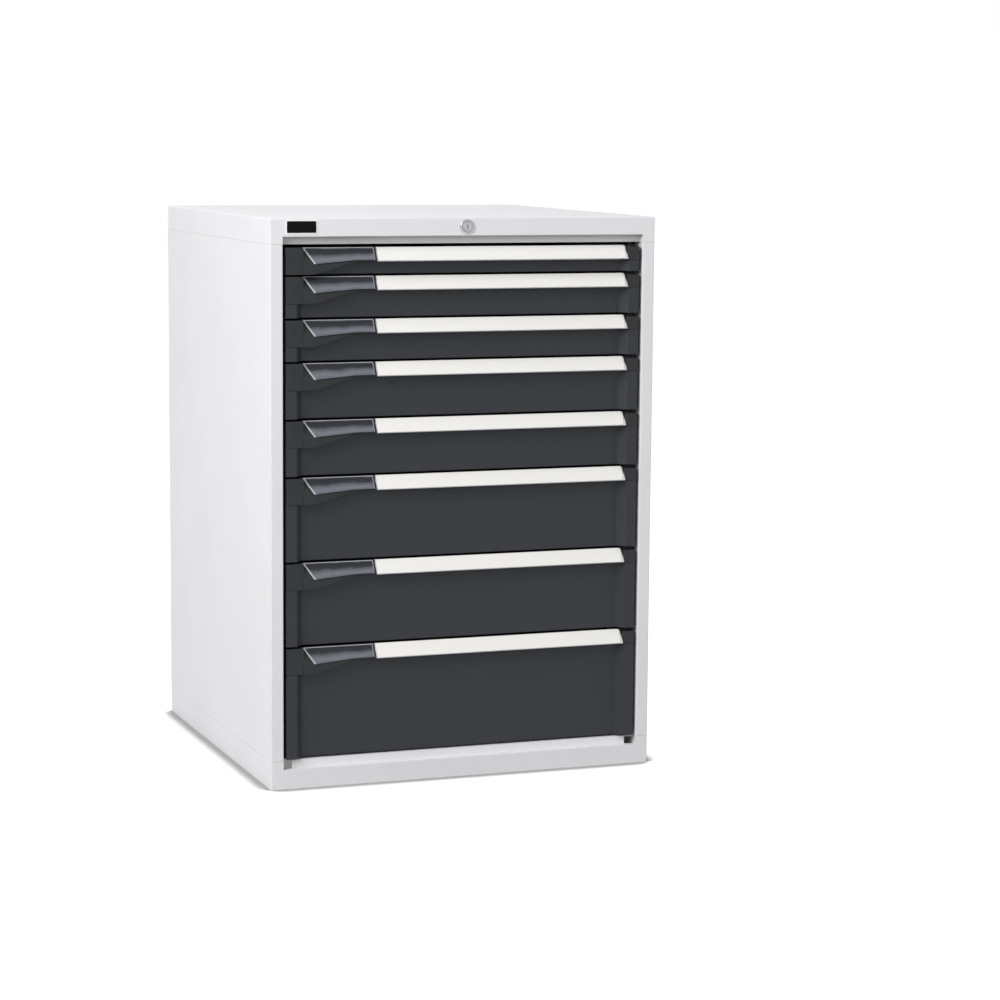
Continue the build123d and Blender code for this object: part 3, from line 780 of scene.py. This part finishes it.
@dataclass
class Drawer:
    """One drawer with its handle rail, label strip, end caps, thumb catch and slides."""

    finishes: Finishes
    number: int
    handle_height: float = 0.024
    handle_radius: float = 0.09
    handle_top_y: float = -0.3433
    handle_foot_y: float = -0.3617
    label_left: float = -0.1635
    label_right: float = 0.306
    label_slant: float = 0.005
    label_corners: tuple[float, float] = (0.005, 0.0015)
    label_thickness: float = 0.0008
    label_lift: float = 0.00002
    label_margin: float = 0.03
    label_rounding: float = 0.0003
    catch_left: float = -0.2982
    catch_right: float = -0.169
    catch_foot_x: float = -0.28
    catch_step_x: float = -0.205
    catch_height: float = 0.028
    catch_end_height: float = 0.022
    catch_top_y: float = -0.3475
    catch_foot_y: float = -0.3625
    catch_thickness: float = 0.0025
    catch_dish: float = 0.001
    catch_rim: float = 0.0044
    catch_faint_rim_highlight: float = 0.7
    catch_first_row: float = 0.065
    catch_rim_drop: float = 0.0013
    catch_rounding: float = 0.0004
    catch_pin_radius: float = 0.0009
    catch_pin_reach: float = 0.0025
    cap_rounding: float = 0.0005

    @property
    def top(self) -> float:
        """The height of the handle's top edge."""
        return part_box(f"drawer_{self.number}_handle")[1].z

    def body(self, part: str = "") -> str:
        """Name one of the drawer's bodies."""
        return f"drawer_{self.number}{part}"

    def handle_arc(self, share: float, offset: float) -> tuple[float, float]:
        """Give a point beside the arc of the handle's outer face.

        Args:
            share: How far along the arc it lies, from 0 at its top edge to 1 at its foot.
            offset: How far in front of the face it lies.

        Returns:
            Its Y and Z.
        """
        start = Vector((self.handle_top_y, self.top))
        end = Vector((self.handle_foot_y, self.top - self.handle_height))
        chord = end - start
        height = math.sqrt(self.handle_radius ** 2 - chord.length_squared / 4)
        inwards = Vector((-chord.y, chord.x)).normalized()
        if inwards.x < 0:
            inwards = -inwards
        centre = (start + end) / 2 + inwards * height
        first = math.atan2(start.y - centre.y, start.x - centre.x) % (2 * math.pi)
        last = math.atan2(end.y - centre.y, end.x - centre.x) % (2 * math.pi)
        angle = first + (last - first) * share
        radius = self.handle_radius + offset
        return centre.x + radius * math.cos(angle), centre.y + radius * math.sin(angle)

    @property
    def catch_lean(self) -> float:
        """How far the catch's face comes forwards for each unit down."""
        return (self.catch_foot_y - self.catch_top_y) / self.catch_height

    @property
    def catch_axis(self) -> tuple[float, float, float]:
        """The Y and Z of the catch's hinge, and how far the catch leans from upright in radians."""
        angle = math.atan(-self.catch_lean)
        half = self.catch_thickness / 2
        return (self.catch_top_y + half * (math.cos(angle) - math.sin(angle)),
                self.top - half * (math.cos(angle) + math.sin(angle)), angle)

    def catch_rear(self, height: float) -> float:
        """Give the Y of the catch's rear face, whose top is rounded about the hinge so that it can swing.

        Args:
            height: The Z at which it is wanted.
        """
        axis_y, axis_z, angle = self.catch_axis
        radius = self.catch_thickness / 2
        if height > axis_z - radius * math.sin(angle):
            return axis_y + math.sqrt(max(radius ** 2 - (height - axis_z) ** 2, 0.0))
        front = self.catch_top_y + self.catch_lean * (self.top - height)
        return front + self.catch_thickness / math.cos(angle)

    def label_end(self, share: float) -> float:
        """Give the X of the label's right end, which slants a little and has rounded corners.

        Args:
            share: From 0 at the label's top edge to 1 at its lower edge.
        """
        cut = self.label_slant * share
        for radius, away in zip(self.label_corners, (share, 1 - share)):
            into = max(radius - away * self.handle_height, 0.0)
            cut += radius - math.sqrt(radius ** 2 - into ** 2)
        return self.label_right - cut

    def build_label(self, finish: Material, rows: int = 24) -> None:
        """Lay the label strip on the handle rail.

        Args:
            finish: The card's finish.
            rows: How many faces follow the arc.
        """
        shape = bmesh.new()
        shares = [(1 - math.cos(math.pi * row / rows)) / 2 for row in range(rows + 1)]
        points = [(share, self.label_thickness) for share in shares]
        points += [(share, self.label_lift) for share in reversed(shares)]
        left, right = [], []
        for share, offset in points:
            y, z = self.handle_arc(self.label_margin + (1 - 2 * self.label_margin) * share, offset)
            left.append(shape.verts.new((self.label_left, y, z)))
            right.append(shape.verts.new((self.label_end(share), y, z)))
        join_lines(shape, left, right, closed=True)
        shape.faces.new(left)
        for place in range(rows):
            shape.faces.new((right[place], right[place + 1], right[-2 - place], right[-1 - place]))
        label = finish_mesh(shape, f"drawer_{self.number}_label_strip", [finish])
        round_edges(label, self.label_rounding)
        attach(label, self.body())
        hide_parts(f"drawer_{self.number}_label")

    def catch_point(self, across: float, down: float) -> tuple[Vector, float]:
        """Give a point on the thumb catch's front face.

        Args:
            across: From 0 at its left edge to 1 at its right edge.
            down: From 0 at its top edge to 1 at its lower edge.

        Returns:
            The point, and how much of the rim's painted highlight it has, from 0 to 1.
        """
        foot_x = self.catch_foot_x + (self.catch_right - self.catch_foot_x) * across
        top_x = self.catch_left + (self.catch_right - self.catch_left) * across
        ease = min(max((foot_x - self.catch_foot_x) / (self.catch_step_x - self.catch_foot_x), 0.0), 1.0)
        depth = self.catch_height + (self.catch_end_height - self.catch_height) * ease
        from_left = (foot_x - self.catch_foot_x) / self.catch_rim
        from_top = down * depth / self.catch_rim * 2
        from_right = (self.catch_right - foot_x) / self.catch_rim * 2
        # The rim's painted highlight is full on the left slant and fainter along the top and right edges
        rim = max(1 - from_left, self.catch_faint_rim_highlight * (1 - min(from_top, from_right)), 0.0)
        dish = self.catch_dish * (1 - (2 * across - 1) ** 6) * (1 - (2 * down - 1) ** 4)
        y = self.catch_top_y + self.catch_lean * depth * down + dish + self.catch_rim_drop * rim
        return Vector((top_x + (foot_x - top_x) * down, y, self.top - depth * down)), rim

    def build_catch(self, finish: Material, columns: int = 30, rows: int = 14) -> None:
        """Shape the thumb catch: a leaning, slightly dished plate with a chamfered rim, painted pale as a
        highlight.

        Args:
            finish: The catch's finish.
            columns: How many faces lie across it between its rims.
            rows: How many faces lie down it below its upper rim.
        """
        rim_share = self.catch_rim / (self.catch_right - self.catch_foot_x)
        inner = [rim_share + (1 - 1.5 * rim_share) * step / columns for step in range(columns + 1)]
        across = [0.0, rim_share / 2, *inner, 1.0]
        below = 1 - self.catch_first_row
        down = [0.0] + [self.catch_first_row + below * step / rows for step in range(rows + 1)]
        shape = bmesh.new()
        # Each vertex keeps its fall, for the painted reflection, and its share of the rim's painted highlight
        fall = shape.verts.layers.float.new("fall")
        pale = shape.verts.layers.float.new("pale")
        front, rear = [], []
        for share in across:
            near, far = [], []
            for drop in down:
                point, rim = self.catch_point(share, drop)
                near.append(shape.verts.new(point))
                far.append(shape.verts.new((point.x, self.catch_rear(point.z), point.z)))
                for vertex in (near[-1], far[-1]):
                    vertex[fall] = drop
                    vertex[pale] = rim
            front.append(near)
            rear.append(far)
        for grid in (front, rear):
            for line, following in zip(grid, grid[1:]):
                join_lines(shape, line, following, closed=False)
        rims = [[line[0] for line in front], [line[-1] for line in front], front[0], front[-1]]
        backs = [[line[0] for line in rear], [line[-1] for line in rear], rear[0], rear[-1]]
        for rim, edge in zip(rims, backs):
            join_lines(shape, rim, edge, closed=False)
        self.add_pins(shape)
        catch = finish_mesh(shape, f"drawer_{self.number}_thumb_catch", [finish])
        round_edges(catch, self.catch_rounding, angle=55.0)
        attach(catch, self.body("_catch_lever"))
        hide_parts(f"drawer_{self.number}_catch")

    def add_pins(self, shape: bmesh.types.BMesh) -> None:
        """Add the two hinge pins at the ends of the catch's top edge.

        Args:
            shape: The catch's mesh data.
        """
        axis_y, axis_z, _ = self.catch_axis
        half = self.catch_pin_reach / 2
        for middle_x in (self.catch_left - half, self.catch_right + half):
            place = Matrix.Translation((middle_x, axis_y, axis_z)) @ Matrix.Rotation(math.pi / 2, 4, "Y")
            bmesh.ops.create_cone(
                shape, cap_ends=True, segments=16, radius1=self.catch_pin_radius,
                radius2=self.catch_pin_radius, depth=self.catch_pin_reach, matrix=place)

    def build_caps(self, finish: Material) -> None:
        """Round the edges of the moulded end caps, from a merged copy of the CAD ones.

        Args:
            finish: The caps' finish.
        """
        shape = bmesh.new()
        shape.from_mesh(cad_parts[f"drawer_{self.number}_end_caps"].data)
        bmesh.ops.remove_doubles(shape, verts=shape.verts, dist=MERGE_DISTANCE)
        bmesh.ops.dissolve_limit(shape, angle_limit=math.radians(1), verts=shape.verts, edges=shape.edges)
        edges = [edge for edge in shape.edges
                 if len(edge.link_faces) == 2 and edge.calc_length() > 4 * self.cap_rounding
                 and edge.calc_face_angle() > math.radians(25)]
        bmesh.ops.bevel(shape, geom=edges, offset=self.cap_rounding, segments=2, profile=0.5,
                        affect="EDGES", clamp_overlap=True)
        caps = finish_mesh(shape, f"drawer_{self.number}_moulded_caps", [finish])
        mark_sharp(caps, 32.0)
        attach(caps, self.body())
        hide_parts(f"drawer_{self.number}_end_caps")

    def build(self) -> None:
        """Build and dress all the drawer's pieces."""
        dress(f"drawer_{self.number}_tray", self.finishes.drawers)
        dress(f"drawer_{self.number}_handle", self.finishes.aluminium)
        dress(f"drawer_{self.number}_slides", self.finishes.zinc)
        self.build_label(self.finishes.labels)
        self.build_caps(self.finishes.caps)
        self.build_catch(self.finishes.catches)
        log.info("built drawer %d", self.number)


@dataclass(frozen=True)
class Lamp:
    """A soft square lamp, aimed at the cabinet's middle, with its power in watts.

    Only a mirrored lamp shows as a highlight on shiny surfaces.
    """

    name: str
    place: tuple[float, float, float]
    size: float
    power: float
    mirrored: bool = False

    def build(self) -> None:
        """Hang the lamp."""
        light = bpy.data.lights.new(self.name, "AREA")
        light.shape = "SQUARE"
        light.size = self.size
        light.energy = self.power
        lamp = bpy.data.objects.new(self.name, light)
        lamp.visible_glossy = self.mirrored
        aim = Vector((0.0, 0.0, 0.5)) - Vector(self.place)
        lamp.matrix_world = Matrix.Translation(self.place) @ aim.to_track_quat("-Z", "Y").to_matrix().to_4x4()
        bpy.context.scene.collection.objects.link(lamp)


@dataclass
class Studio:
    """A pale floor, soft lamps and the camera at the photograph's viewing angle."""

    camera_place: tuple[float, float, float] = (-1.698, -5.0655, 1.168)
    azimuth: float = -20.54
    elevation: float = 7.59
    roll: float = 0.47
    lens: float = 102.35
    sensor: float = 36.0
    floor_size: float = 40.0
    floor_grey: str = "#a8a8a8"
    foot_inset: float = 0.0015
    glow: float = 0.88
    painted_glow_under: float = 0.22
    contact_reach: float = 0.05
    contact_span: tuple[float, float] = (0.62, 0.86)
    ambient: float = 0.45
    lamps: tuple[Lamp, ...] = (Lamp("key_lamp", (-3.1, -2.05, 2.7), 2.4, 142.0, mirrored=True),
                               Lamp("fill_lamp", (2.4, -2.8, 1.8), 3.0, 31.0),
                               Lamp("back_lamp", (0.3, 3.4, 2.6), 2.4, 40.0))

    def seen_white(self, tree: NodeTree) -> NodeSocket:
        """Give 1 where a camera, glossy or transmitted ray looks, and 0 for other light.

        Args:
            tree: The shader tree.

        Returns:
            The output that holds it.
        """
        path = add_node(tree, "ShaderNodeLightPath")
        shine = add_node(tree, "ShaderNodeMath", {
            0: path.outputs["Is Glossy Ray"], 1: path.outputs["Is Transmission Ray"]}, operation="MAXIMUM")
        seen = add_node(tree, "ShaderNodeMath", {
            0: path.outputs["Is Camera Ray"], 1: shine.outputs["Value"]}, operation="MAXIMUM")
        return seen.outputs["Value"]

    def build_world(self) -> None:
        """Make the world: white where it is seen, a plain grey light elsewhere."""
        world = bpy.data.worlds.new("studio_light")
        world.use_nodes = True
        bpy.context.scene.world = world
        tree = world.node_tree
        tree.nodes.clear()
        strength = add_node(tree, "ShaderNodeMapRange", {
            "Value": self.seen_white(tree), "To Min": self.ambient, "To Max": 1.0})
        light = add_node(tree, "ShaderNodeBackground", {
            "Color": (1.0, 1.0, 1.0, 1.0), "Strength": strength.outputs["Result"]})
        add_node(tree, "ShaderNodeOutputWorld", {"Surface": light.outputs["Background"]})

    def build_floor(self) -> None:
        """Lay the floor: white to the eye, but for soft shadows and a painted contact shadow, and under the
        object a low grey glow of painted light.
        """
        white, tree, _ = new_material("white_floor")
        plain = add_node(tree, "ShaderNodeBsdfDiffuse", {"Color": linear(self.floor_grey)})
        # A painted contact shadow: close to the object's foot the floor's glow darkens within a few
        # centimetres
        corner = add_node(tree, "ShaderNodeAmbientOcclusion", {"Distance": self.contact_reach}, samples=16)
        strength = add_node(tree, "ShaderNodeMapRange", {
            "Value": corner.outputs["AO"], "From Min": self.contact_span[0],
            "From Max": self.contact_span[1], "To Min": 0.0, "To Max": self.glow})
        glow = add_node(tree, "ShaderNodeEmission", {"Strength": strength.outputs["Result"]})
        bright = add_node(tree, "ShaderNodeAddShader", {
            0: plain.outputs["BSDF"], 1: glow.outputs["Emission"]})
        mixed = add_node(tree, "ShaderNodeMixShader", {
            0: self.seen_white(tree), 1: plain.outputs["BSDF"], 2: bright.outputs["Shader"]})
        add_node(tree, "ShaderNodeOutputMaterial", {"Surface": mixed.outputs["Shader"]})
        # Painted light: under the object the floor glows grey to the eye, standing in for light that falls in
        # under the base
        under, tree, _ = new_material("floor_under_object_painted_glow")
        plain = add_node(tree, "ShaderNodeBsdfDiffuse", {"Color": linear(self.floor_grey)})
        dim = add_node(tree, "ShaderNodeEmission", {"Strength": self.painted_glow_under})
        mixed = add_node(tree, "ShaderNodeMixShader", {
            0: self.seen_white(tree), 1: plain.outputs["BSDF"], 2: dim.outputs["Emission"]})
        add_node(tree, "ShaderNodeOutputMaterial", {"Surface": mixed.outputs["Shader"]})
        low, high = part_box("base")
        lines = [[-self.floor_size / 2, low[axis] + self.foot_inset, high[axis] - self.foot_inset,
                  self.floor_size / 2] for axis in (0, 1)]
        shape = bmesh.new()
        spots = [[shape.verts.new((x, y, 0.0)) for y in lines[1]] for x in lines[0]]
        for column in range(3):
            for row in range(3):
                face = shape.faces.new((spots[column][row], spots[column + 1][row],
                                        spots[column + 1][row + 1], spots[column][row + 1]))
                face.material_index = int(column == row == 1)
        floor = finish_mesh(shape, "studio_floor", [white, under])

    def build_camera(self) -> None:
        """Set the camera where the photograph was taken from."""
        around, up_angle, roll = (math.radians(value) for value in (self.azimuth, self.elevation, self.roll))
        back = Vector((math.sin(around) * math.cos(up_angle), -math.cos(around) * math.cos(up_angle),
                       math.sin(up_angle)))
        right = (-back).cross(Vector((0, 0, 1))).normalized()
        up = back.cross(right)
        rolled_right = right * math.cos(roll) + up * math.sin(roll)
        rolled_up = up * math.cos(roll) - right * math.sin(roll)
        lens = bpy.data.cameras.new("studio_camera")
        lens.lens = self.lens
        lens.sensor_width = self.sensor
        camera = bpy.data.objects.new("studio_camera", lens)
        turn = Matrix((rolled_right, rolled_up, back)).transposed().to_4x4()
        camera.matrix_world = Matrix.Translation(self.camera_place) @ turn
        bpy.context.scene.collection.objects.link(camera)
        bpy.context.scene.camera = camera

    def build(self) -> None:
        """Set up the whole studio."""
        bpy.context.scene.view_settings.view_transform = "Standard"
        self.build_world()
        self.build_floor()
        for lamp in self.lamps:
            lamp.build()
        self.build_camera()
        log.info("built studio")


def main() -> None:
    """Build the cabinet's looks piece by piece, then the studio."""
    logging.basicConfig(level=logging.INFO, format="%(name)s: %(message)s")
    finishes = Finishes()
    Housing(finishes).build()
    CylinderLock(finishes).build()
    NamePlate(finishes).build()
    for number in range(1, DRAWER_COUNT + 1):
        Drawer(finishes, number).build()
    Studio().build()


if __name__ == "__main__":
    main()
